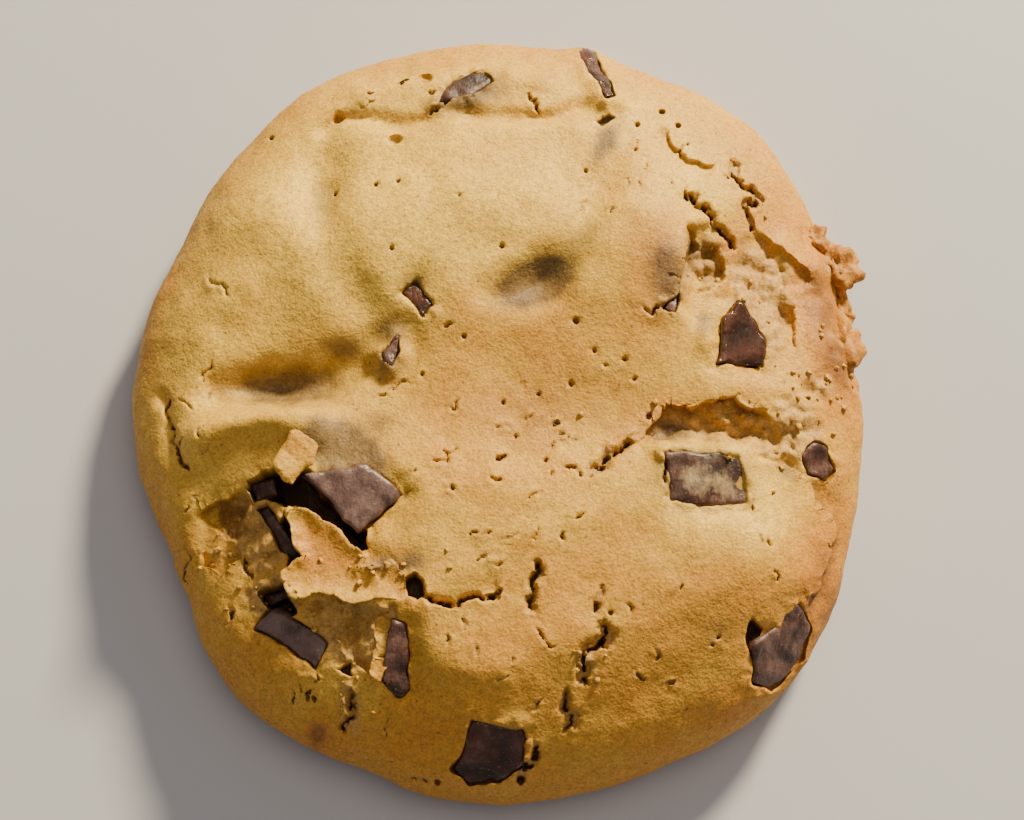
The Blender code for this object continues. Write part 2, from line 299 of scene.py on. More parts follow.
# height, half width, points
ROLLS = (
    (-1.1, 3.2, ((-21.0, 29.0), (-20.5, 20.0), (-16.5, 12.0), (-12.0, 5.5))),
    (-1.0, 2.6, ((0.0, 11.6), (5.2, 13.4), (9.6, 17.0), (12.2, 25.0))),
    (-0.8, 2.4, ((-9.0, 14.0), (-10.0, 9.0), (-12.5, 3.0))),
    (2.2, 2.2, ((-35.0, -5.4), (-31.5, -3.8), (-27.9, -3.0), (-24.3, -3.2), (-21.5, -4.4))),
    (-1.2, 2.2, ((-33.0, 0.6), (-27.0, 1.2), (-21.7, 0.8), (-18.0, 3.6), (-15.0, 5.4))),
    (-1.2, 1.0, ((-21.0, 33.4), (-19.3, 34.9), (-16.5, 35.0), (-12.1, 33.8), (-9.4, 34.2), (-6.8, 35.8),
                 (-2.0, 34.7), (1.6, 34.4), (5.2, 34.4), (7.6, 34.9), (10.5, 36.2))),
    (0.8, 2.0, ((-16.0, 38.4), (-10.0, 39.6), (0.0, 40.4), (6.0, 39.6))),
    (-0.8, 0.9, ((-40.0, 0.5), (-39.0, -2.2), (-38.6, -4.9), (-36.6, -9.3))),
    (-0.7, 1.3, ((-15.5, -19.3), (-11.7, -20.6), (-8.0, -19.2))),
    (0.9, 1.6, ((34.5, 19.0), (37.0, 17.2), (39.6, 15.6))),
)

# drop, width of the wall, reach of the low ground, overhang, points
LEDGES = (
    (1.9, 0.5, 4.4, 0.6, ((15.6, -6.6), (17.0, -4.8), (18.1, -3.2), (19.3, -1.5), (20.6, -0.9), (23.1, -1.5),
                          (24.3, -0.4), (28.2, 0.3), (31.2, -1.5), (33.4, -3.4))),
    (1.5, 0.6, 2.6, 0.4, ((30.0, -31.4), (33.6, -26.7), (36.2, -23.9), (37.7, -22.0), (39.2, -18.5),
                          (39.2, -14.0), (36.8, -10.7), (34.2, -8.8), (29.4, -8.4))),
    (2.2, 0.7, 3.4, 0.7, ((19.4, 10.4), (21.0, 12.7), (21.3, 14.4), (21.8, 16.9), (22.0, 20.5))),
    (1.4, 0.7, 2.5, 0.5, ((-35.8, -14.0), (-34.2, -12.6), (-32.5, -11.9), (-30.4, -10.8))),
    (1.2, 0.6, 2.2, 0.5, ((-29.6, -19.4), (-30.6, -19.6), (-32.2, -21.6), (-34.1, -20.4), (-36.0, -20.2))),
    (0.8, 0.5, 1.8, 0.3, ((21.0, 34.0), (21.5, 31.6), (22.5, 30.7), (23.5, 29.7), (25.0, 29.2), (26.9, 28.7))),
    (0.6, 0.4, 1.5, 0.2, ((22.4, 25.2), (24.3, 23.1), (26.0, 21.0), (28.1, 19.3))),
    (0.8, 1.0, 3.0, 0.2, ((31.0, 21.5), (35.3, 18.4), (38.0, 16.0), (38.4, 13.6))),
    (0.6, 0.5, 1.6, 0.2, ((36.2, 12.4), (36.0, 8.2), (35.8, 5.6))),
    (0.7, 0.6, 2.0, 0.2, ((0.8, -24.4), (-4.3, -25.9), (-8.3, -25.2))),
)

# depth, width of the wall, how much shade is painted inside, corners
GAPS = (
    (6.5, 0.7, 1.0, ((-29.7, -11.0), (-27.5, -9.3), (-25.4, -8.6), (-23.6, -8.9), (-21.3, -9.9), (-14.9, -16.3),
                     (-14.8, -18.7), (-16.1, -19.4), (-18.2, -17.3), (-20.6, -15.5), (-22.9, -14.0),
                     (-24.7, -13.8), (-26.7, -12.6), (-28.8, -11.7))),
    (4.5, 0.6, 0.9, ((-24.8, -14.2), (-23.8, -14.9), (-23.4, -16.7), (-22.2, -17.9), (-21.9, -19.7),
                     (-22.9, -21.1), (-24.0, -21.7), (-24.3, -19.7), (-24.9, -17.3), (-25.6, -15.2))),
    (5.0, 0.6, 1.0, ((-27.7, -23.5), (-24.2, -22.4), (-23.8, -24.5), (-22.8, -25.9), (-24.6, -26.3),
                     (-26.3, -25.2))),
    (3.5, 0.5, 1.0, ((-10.9, -22.4), (-9.3, -21.6), (-8.2, -22.6), (-8.0, -24.2), (-9.0, -24.9), (-10.6, -24.2))),
    (2.0, 1.2, 0.3, ((-33.3, -12.1), (-31.0, -12.1), (-28.9, -12.6), (-29.4, -15.5), (-30.5, -17.3),
                     (-32.4, -16.6))),
    (0.9, 0.7, 0.0, ((-23.9, -25.0), (-20.5, -24.2), (-15.4, -25.0), (-11.6, -25.0), (-10.8, -29.1),
                     (-11.9, -33.7), (-14.2, -33.6), (-17.4, -31.3), (-19.2, -28.9), (-20.7, -26.9))),
    (1.6, 0.4, 0.9, ((-18.5, -32.2), (-16.9, -31.3), (-16.5, -33.2))),
    (1.0, 1.6, 0.10, ((17.0, -4.8), (18.1, -3.2), (19.3, -1.5), (20.6, -0.9), (23.1, -1.7), (23.9, -0.5),
                      (28.2, 0.3), (30.2, -0.5), (33.4, -3.1), (35.4, -6.9), (32.2, -8.4), (29.0, -6.6),
                      (25.4, -6.2), (23.1, -5.6), (20.9, -6.2), (18.3, -6.2))),
    (1.7, 0.9, 0.4, ((22.0, 19.6), (22.2, 15.2), (24.5, 13.2), (27.0, 13.8), (27.5, 15.7), (26.6, 18.3),
                     (24.1, 19.1))),
    (2.5, 0.4, 1.0, ((29.0, -29.2), (29.6, -26.6), (30.8, -27.6), (31.0, -34.0), (29.6, -33.8))),
    (1.0, 0.4, 0.9, ((12.0, 33.9), (13.7, 35.2), (14.6, 34.6), (12.9, 33.2))),
    (0.8, 0.3, 0.8, ((36.4, -0.2), (37.4, 0.1), (37.2, -0.8))),
    (1.0, 0.3, 0.9, ((42.6, 2.6), (43.3, 2.2), (43.0, 1.0))),
)

# height of the top, width of the wall, overhang, corners
FLAPS = (
    (17.5, 0.45, 0.5, ((-24.2, -14.3), (-22.7, -14.6), (-20.3, -15.8), (-17.4, -18.0), (-15.3, -19.8),
                       (-16.0, -21.3), (-14.1, -22.1), (-11.8, -20.5), (-10.7, -24.2), (-16.4, -24.9),
                       (-20.7, -23.5), (-23.3, -24.2), (-24.4, -21.9), (-21.7, -19.8), (-23.2, -16.9))),
    (15.6, 0.45, 0.3, ((-13.4, -26.4), (-12.5, -27.1), (-12.2, -31.4), (-13.6, -33.9), (-14.3, -33.0),
                       (-13.5, -29.7))),
)

# half width and depth of the opening, half width and depth of the slit in it, points
TEARS = (
    (0.25, 0.3, 0.15, 1.2, ((4.5, -15.9), (4.2, -18.5))),
    (0.45, 0.5, 0.22, 1.8, ((5.1, -19.7), (4.5, -20.3), (4.8, -21.5), (4.0, -22.6), (3.7, -24.7), (4.5, -26.7))),
    (0.10, 0.2, 0.09, 0.7, ((4.2, -27.4), (5.0, -28.7), (5.6, -29.5), (7.2, -30.2))),
    (0.30, 0.3, 0.18, 1.5, ((12.0, -22.5), (12.1, -23.8), (11.4, -25.2), (11.1, -26.6))),
    (0.85, 0.9, 0.22, 1.8, ((11.3, -27.1), (12.6, -27.9), (12.9, -28.7), (11.8, -29.7), (10.5, -30.5),
                            (10.0, -31.6), (10.0, -33.2), (11.0, -34.5))),
    (0.55, 0.6, 0.18, 1.5, ((7.9, -34.2), (7.7, -36.9), (8.5, -37.2), (7.9, -40.0))),
    (0.40, 0.4, 0.25, 1.6, ((4.2, -39.8), (4.8, -41.1), (4.3, -42.9), (2.9, -44.4), (3.5, -45.9))),
    (0.55, 0.7, 0.20, 1.5, ((10.7, -10.7), (11.2, -10.0), (12.7, -8.9), (12.7, -8.1), (13.9, -7.2),
                            (14.7, -6.7), (16.7, -6.1))),
    (0.12, 0.2, 0.12, 0.9, ((7.3, -9.9), (7.7, -9.3), (8.7, -9.2), (9.7, -10.0), (10.7, -10.7))),
    (0.15, 0.2, 0.12, 0.9, ((8.9, -15.8), (10.0, -15.0), (10.4, -14.4))),
    (0.20, 0.2, 0.12, 1.0, ((7.4, -16.6), (7.5, -17.4), (7.8, -18.2))),
    (0.45, 0.6, 0.25, 1.9, ((-8.7, -23.5), (-7.1, -25.0), (-4.4, -25.5), (-4.1, -24.7), (-2.2, -24.4),
                            (0.5, -23.7), (1.1, -23.7))),
    (0.12, 0.2, 0.12, 0.9, ((-8.0, -8.9), (-7.2, -8.5), (-5.8, -8.7), (-5.6, -8.3), (-5.6, -6.4))),
    (0.15, 0.2, 0.12, 0.8, ((-0.9, -10.5), (0.2, -10.9), (0.7, -11.0))),
    (0.15, 0.2, 0.13, 0.9, ((3.2, -13.4), (4.2, -12.6), (5.7, -11.8))),
    (0.45, 0.6, 0.24, 1.9, ((22.4, 25.2), (22.9, 24.2), (24.3, 23.1), (25.5, 22.2), (26.0, 21.0), (27.1, 20.2),
                            (28.1, 19.3), (28.0, 17.6))),
    (0.50, 0.6, 0.22, 1.6, ((28.7, 30.4), (28.8, 28.8), (28.4, 27.7), (29.2, 27.1), (30.7, 26.1), (31.4, 24.5),
                            (29.9, 23.7), (30.5, 22.4), (30.9, 20.0))),
    (0.18, 0.2, 0.14, 1.0, ((20.9, 9.4), (19.2, 9.9), (18.2, 9.0), (17.8, 9.4), (16.6, 9.9))),
    (0.25, 0.3, 0.13, 0.9, ((-40.0, 0.5), (-39.3, 0.2), (-38.9, -2.2), (-38.6, -4.9), (-36.6, -9.3))),
    (0.12, 0.2, 0.10, 0.6, ((-38.4, 0.0), (-37.0, -0.6), (-35.6, -1.4))),
    (0.20, 0.2, 0.12, 0.8, ((-34.9, 14.9), (-34.1, 13.8), (-32.7, 13.6), (-31.4, 11.4))),
    (0.12, 0.1, 0.09, 0.5, ((-14.6, -0.9), (-12.3, 0.4), (-9.6, 1.0))),
    (0.25, 0.3, 0.12, 1.0, ((-8.4, 12.0), (-7.8, 10.6), (-7.1, 9.6))),
    (0.15, 0.2, 0.12, 0.8, ((-6.4, 7.7), (-4.9, 8.2))),
    (0.60, 0.6, 0.25, 1.9, ((-16.5, -34.2), (-16.8, -35.7), (-16.6, -37.7), (-18.0, -39.9))),
    (0.20, 0.2, 0.12, 0.8, ((-11.0, -43.6), (-9.3, -44.6), (-7.2, -44.6))),
    (0.40, 0.4, 0.30, 1.5, ((-8.6, 35.0), (-6.9, 36.0), (-5.0, 37.4))),
    (0.25, 0.3, 0.16, 1.3, ((4.3, 38.4), (4.9, 36.3), (5.5, 34.8))),
    (0.20, 0.2, 0.12, 0.9, ((-37.0, -17.0), (-36.2, -18.6), (-37.2, -20.2), (-36.4, -22.0))),
    (0.20, 0.2, 0.12, 0.9, ((-31.5, -24.5), (-31.0, -26.0), (-32.0, -27.4))),
    (0.15, 0.2, 0.11, 0.8, ((-24.5, -34.0), (-23.6, -35.4), (-24.2, -37.0))),
    (0.15, 0.2, 0.11, 0.8, ((-12.2, -37.6), (-12.8, -39.2), (-12.2, -40.6))),
    (0.12, 0.1, 0.10, 0.7, ((-2.4, -28.6), (-2.0, -30.2), (-2.8, -31.6))),
    (0.12, 0.1, 0.10, 0.8, ((17.8, 28.6), (17.8, 26.9))), (0.10, 0.1, 0.10, 0.7, ((20.9, 26.4), (20.9, 25.2))),
    (0.15, 0.2, 0.11, 0.9, ((-29.9, -18.6), (-29.5, -20.2), (-28.6, -22.4))),
    (0.12, 0.1, 0.10, 0.7, ((23.4, 12.0), (24.4, 12.5), (25.4, 12.8), (26.9, 13.6))),
    (0.25, 0.2, 0.20, 1.2, ((20.0, -6.6), (19.7, -9.5), (20.2, -13.2))),
)

# middle x, y, spread along x and y, how many, direction: many short hair cracks
HAIR_CRACKS = (
    (6.0, -4.5, 8.0, 4.5, 14, 20.0), (-7.0, -9.5, 5.0, 2.5, 6, 15.0), (-36.0, -6.0, 2.5, 10.0, 8, 75.0),
    (6.0, -31.0, 16.0, 5.0, 12, 85.0), (-22.0, -36.0, 7.0, 3.0, 6, 70.0), (20.0, 27.0, 7.0, 6.0, 7, 60.0),
    (-2.0, -19.0, 6.0, 2.5, 5, 30.0), (32.0, -16.0, 3.0, 7.0, 5, 80.0), (-8.0, 38.0, 10.0, 1.5, 5, 10.0),
)

# x, y, radius
PORES = (
    (15.0, 3.9, 0.5), (16.2, 1.4, 0.4), (11.5, 4.9, 0.4), (12.7, 3.1, 0.4), (8.7, 1.1, 0.5), (5.0, -0.3, 0.3),
    (9.4, 8.3, 0.4), (0.9, -1.2, 0.3), (2.2, -5.3, 0.3), (0.1, -8.2, 0.4), (5.7, -8.3, 0.3), (0.4, -10.8, 0.3),
    (-8.7, 2.2, 0.3), (-3.8, 6.6, 0.3), (-12.5, 17.0, 0.3), (0.6, 17.2, 0.3), (10.8, 27.2, 0.3),
    (-19.3, 24.8, 0.3), (-14.5, 25.3, 0.3), (-11.7, 25.6, 0.3), (-4.4, 23.5, 0.3), (17.1, 33.8, 0.4),
    (16.7, 30.0, 0.4), (20.2, 36.1, 0.4), (22.0, 34.2, 0.4), (13.0, -26.3, 0.3), (23.0, 19.4, 0.9),
    (-12.3, 31.6, 0.8), (-8.8, 40.2, 0.9), (-19.4, 35.2, 0.9), (-21.0, -39.4, 1.2), (24.9, -29.6, 0.3),
    (25.6, -28.8, 0.3), (-7.0, -44.9, 0.4), (-27.8, 33.4, 0.4),
)

# %% Where the finish changes
# centre x, y, radii, turn, strength
# Most swells are baked browning. The broad one in the middle is partly painted shade, and the two negative ones
# are painted light, paling the lit tops of the north-west pillow and the south-east dome.
BROWNING_AND_LIGHT = (
    (8.0, -30.0, 26.0, 13.0, 0.0, 0.36), (28.0, -24.0, 12.0, 10.0, -20.0, 0.22),
    (40.5, 7.5, 4.0, 9.0, 0.0, 0.75), (34.0, 22.0, 5.0, 7.0, 40.0, 0.25), (18.0, 15.0, 4.5, 5.0, 0.0, 0.5),
    (-8.0, -40.0, 14.0, 6.0, 0.0, 0.2), (38.0, -19.0, 4.0, 10.0, 0.0, 0.6), (38.0, 14.5, 2.5, 4.0, 0.0, 0.5),
    (21.0, -2.6, 3.5, 1.6, 5.0, 0.5), (-31.0, -14.5, 2.5, 3.0, 0.0, 0.55), (27.5, 18.5, 1.6, 2.4, -40.0, 0.5),
    (-21.0, -39.4, 1.5, 2.0, 0.0, 0.5), (-19.5, 34.8, 2.0, 1.2, 0.0, 0.3), (5.0, -1.0, 18.0, 11.0, 0.0, 0.38), (3.0, 9.0, 13.0, 5.0, 0.0, 0.15), (-14.0, 21.0, 17.0, 11.0, 0.0, -0.42), (20.5, 14.0, 4.0, 6.0, 0.0, 0.15), (-18.0, -21.5, 6.0, 2.6, -10.0, 0.35),
    (-21.0, -18.0, 3.4, 4.6, 30.0, 0.45), (27.0, -13.0, 11.0, 6.0, -10.0, -0.5),
    (31.5, 12.0, 5.0, 9.0, 0.0, 0.35),
)
CRUMBLED = (
    (31.5, 12.0, 4.5, 9.0, 0.0, 1.0), (25.0, 17.0, 3.0, 4.0, 0.0, 0.7), (27.0, -3.8, 7.0, 2.4, 0.0, 0.9),
    (-28.0, -16.0, 4.0, 6.0, 15.0, 1.0), (-17.0, -28.0, 6.5, 4.5, -30.0, 0.9), (-26.0, -24.0, 4.0, 3.0, 0.0, 1.0),
    (-16.8, -36.5, 1.6, 3.6, 10.0, 0.9), (10.4, -31.6, 1.4, 2.4, 20.0, 0.7), (35.0, -4.0, 4.5, 5.0, 0.0, 0.8),
    (-13.0, -20.8, 5.0, 1.6, 0.0, 0.7), (38.5, 1.5, 4.0, 3.0, 0.0, 0.6), (42.0, 17.5, 3.0, 3.5, 0.0, 0.7),
    (41.5, 8.0, 3.0, 5.5, 0.0, 0.45), (-33.0, -18.5, 3.0, 2.5, 0.0, 0.5),
)
# Real grey stains over chocolate, and painted shade: the west hollow, the broad middle and the valley north of it
# are greyed where shade falls.
STAINS_AND_SHADE = (
    (-17.6, -7.6, 4.8, 3.0, -35.0, 2.4), (4.8, 13.2, 4.4, 2.4, 25.0, 2.2), (6.0, -2.0, 16.0, 8.0, 0.0, 0.34), (-12.4, 7.4, 2.6, 2.0, 0.0, 0.9),
    (-12.6, 3.4, 2.4, 2.0, 0.0, 0.8), (-9.5, 12.6, 2.4, 2.0, 0.0, 0.8), (13.3, 31.4, 1.6, 3.6, -25.0, 1.0),
    (-3.4, 37.6, 5.4, 2.8, 20.0, 1.0), (-14.0, -3.8, 3.0, 1.8, 0.0, 0.6), (-9.4, -20.3, 2.0, 1.3, 0.0, 1.0),
    (-13.2, -20.6, 1.8, 1.2, 0.0, 0.8), (-21.0, 23.5, 2.4, 4.6, 10.0, 0.55), (24.5, -10.4, 6.6, 4.6, 0.0, 0.9),
    (25.5, -28.0, 2.4, 2.4, 0.0, 0.5), (24.6, 8.4, 1.4, 1.8, 0.0, 0.9), (20.2, 14.0, 2.8, 5.0, 0.0, 1.0),
    (10.0, 18.0, 6.0, 2.2, 45.0, 0.5), (-18.0, 5.6, 4.0, 1.6, 0.0, 0.7), (34.0, -9.0, 2.4, 1.4, -30.0, 0.7),
    (1.8, -40.8, 1.8, 2.6, 0.0, 0.7), (20.0, -4.8, 3.4, 1.8, 0.0, 0.8), (23.6, 18.0, 2.0, 2.6, 0.0, 0.6),
    (-25.0, 1.2, 8.0, 3.0, 0.0, 1.15), (31.0, 11.0, 4.0, 7.0, 0.0, 0.3), (20.5, -4.4, 3.0, 1.6, 0.0, 0.9),
)
print(len(SWELLS) + len(ROLLS), "swells and rolls,", len(LEDGES), "ledges,", len(TEARS), "tears")

# %% [markdown]
# ## Where the chunks sit
# Each chunk was pressed into the dough and baked there. Its top is a tilted plane with a
# few corners. The dough is carved down to just below that plane wherever the chunk comes
# through, and beside it the crust is drawn to a level a little above or below the chunk's
# edge, because melted chocolate and rising dough always meet in a lip.

# %% Chunk places
# name, rise above the plain dome, thickness, extra lean along x and y, level of the crust
# above the chunk's edge (or NO_LIP), scuffs, film, shine, corners of the top
NO_LIP = None
CHUNKS = (
    ("chunk_west", 0.5, 5.5, -0.2, 0.06, -0.7, 0.8, 0.0, 0.55,
     ((-22.3, -10.2), (-15.8, -16.9), (-10.9, -12.4), (-15.1, -9.0))),
    ("chunk_west_under_lip", -2.6, 3.0, -0.1, 0.0, NO_LIP, 0.0, 0.0, 0.5,
     ((-29.2, -10.4), (-28.4, -12.6), (-25.6, -11.8), (-26.2, -9.6))),
    ("chunk_west_strip", -2.0, 3.0, -0.1, 0.0, NO_LIP, 0.2, 0.0, 0.5,
     ((-28.0, -13.6), (-25.2, -18.6), (-23.0, -19.6), (-25.6, -14.4), (-26.8, -13.0))),
    ("chunk_south_west", -0.2, 4.0, 0.0, -0.1, 0.0, 0.95, 0.1, 0.4,
     ((-28.3, -27.6), (-21.0, -32.2), (-19.4, -29.4), (-26.3, -25.3))),
    ("chunk_south_slab", 0.9, 4.5, -0.1, 0.0, -0.3, 0.4, 0.1, 0.5,
     ((-13.2, -33.6), (-11.2, -35.4), (-10.0, -34.6), (-10.2, -27.4), (-12.0, -26.9))),
    ("chunk_south", 0.5, 4.5, 0.0, 0.0, 0.4, 0.15, 0.0, 0.7,
     ((-5.2, -43.6), (-3.0, -45.3), (0.2, -45.0), (3.0, -43.2), (3.6, -40.2), (3.0, -39.2),
      (-2.8, -38.2), (-3.4, -41.0))),
    ("chunk_south_east", 1.0, 6.0, 0.0, 0.0, -0.3, 0.6, 0.15, 0.4,
     ((29.8, -29.6), (29.9, -33.6), (32.2, -34.4), (36.2, -30.6), (37.0, -27.0), (35.2, -24.4))),
    ("chunk_east_filmed", 0.9, 4.5, 0.0, 0.0, 0.1, 0.3, 1.0, 0.1,
     ((19.4, -7.6), (20.0, -13.4), (29.0, -13.4), (28.2, -7.8))),
    ("chunk_east", -0.2, 6.0, 0.0, 0.08, -0.5, 0.1, 0.0, 1.0,
     ((25.9, 3.4), (31.6, 3.4), (32.0, 6.6), (28.8, 11.2), (26.8, 9.0), (26.6, 6.2))),
    ("chunk_north_strip", 0.4, 3.0, 0.0, 0.0, 0.1, 0.1, 0.0, 0.9,
     ((10.2, 45.2), (10.8, 42.8), (13.2, 37.0), (14.3, 37.6), (12.8, 42.2), (12.2, 45.2),
      (11.2, 46.0))),
    ("chunk_east_rim", 0.3, 4.0, 0.0, 0.0, 0.1, 0.4, 0.3, 0.4,
     ((36.0, -7.2), (36.8, -9.2), (39.0, -9.6), (40.2, -8.4), (39.2, -5.8), (37.6, -5.4))),
    ("chunk_centre_upper", -0.9, 3.5, 0.0, 0.0, 0.4, 0.2, 0.1, 0.6,
     ((-11.3, 12.0), (-8.8, 8.9), (-7.6, 10.2), (-9.6, 13.3))),
    ("chunk_centre_lower", -1.1, 3.5, 0.0, 0.0, 0.3, 0.5, 0.2, 0.4,
     ((-13.6, 4.6), (-12.4, 3.1), (-11.5, 4.8), (-11.7, 6.7))),
    ("chunk_north_filmed", 0.2, 3.5, 0.0, 0.0, 0.1, 0.3, 1.0, 0.1,
     ((-7.6, 36.4), (-3.0, 37.6), (-0.6, 39.6), (-1.8, 41.4), (-4.4, 40.2))),
    ("chunk_north_east_tip", 0.1, 3.5, 0.0, 0.0, 0.3, 0.2, 0.0, 0.5,
     ((19.7, 9.8), (20.9, 9.3), (21.6, 12.8))),
    ("chunk_hole", -3.6, 2.5, -0.2, 0.0, NO_LIP, 0.5, 0.0, 0.4,
     ((-27.6, -23.4), (-26.6, -24.6), (-23.8, -23.6), (-24.8, -22.6))),
)

class Seat:
    """The plane of a chunk's top and the look of the chunk."""

    def __init__(self, name, rise, thickness, lean_x, lean_y, lip, scuff, film, shine, corners):
        self.name, self.thickness, self.lip, self.corners = name, thickness, lip, corners
        self.looks = {"scuff": scuff, "film": film, "shine": shine}
        self.x = sum(x for x, y in corners) / len(corners)
        self.y = sum(y for x, y in corners) / len(corners)
        reach = 2.0
        around = np.array([(0, 0), (reach, 0), (-reach, 0), (0, reach), (0, -reach)])
        level = dome_height(self.x + around[:, 0], self.y + around[:, 1])
        self.slope_x = (level[1] - level[2]) / (2 * reach) + lean_x
        self.slope_y = (level[3] - level[4]) / (2 * reach) + lean_y
        self.top = level[0] + rise
        self.ring = jagged(closed(corners), 0.06, 2)

    def level(self, x, y):
        return self.top + self.slope_x * (x - self.x) + self.slope_y * (y - self.y)

def hair_cracks():
    """Short thin tears strewn about their places."""
    luck = random.Random(5)
    made = []
    for x, y, spread_x, spread_y, count, direction in HAIR_CRACKS:
        for _ in range(count):
            middle_x, middle_y = luck.gauss(x, 0.6 * spread_x), luck.gauss(y, 0.6 * spread_y)
            turn = math.radians(luck.gauss(direction, 25))
            half = luck.uniform(0.5, 1.5)
            aside_x, aside_y = half * math.cos(turn), half * math.sin(turn)
            points = ((middle_x - aside_x, middle_y - aside_y), (middle_x + aside_x, middle_y + aside_y))
            width = luck.uniform(0.06, 0.13)
            made.append((1.3 * width, 0.1, width, 6 * width, jagged(points, 0.3, 3)))
    return made

SEATS = [Seat(*row) for row in CHUNKS]
TORN_LEDGES = [(*sizes, jagged(points)) for *sizes, points in LEDGES]
TORN_TEARS = [(*sizes, jagged(points, 0.24, 4)) for *sizes, points in TEARS]
TORN_TEARS += hair_cracks()
TORN_GAPS = [(*sizes, jagged(closed(corners), 0.12)) for *sizes, corners in GAPS]
TORN_FLAPS = [(*sizes, jagged(closed(corners), 0.12)) for *sizes, corners in FLAPS]
print(len(SEATS), "chunks")

# %% [markdown]
# ## The shape of the top
# All strokes are laid on many places at once. Wide forms come first, then torn edges and
# crumbs, then the sockets, then thin cracks, which cut through everything before them.

# %% Relief
SOCKET_DEPTH = 1.6
SOFT_TOP = 18.0
TALLEST = 19.0
LIP_REACH = 1.5

def winding(ring):
    """1 where a ring runs anticlockwise, -1 where it runs clockwise."""
    return math.copysign(1, sum(ax * by - bx * ay for (ax, ay), (bx, by) in zip(ring, ring[1:])))

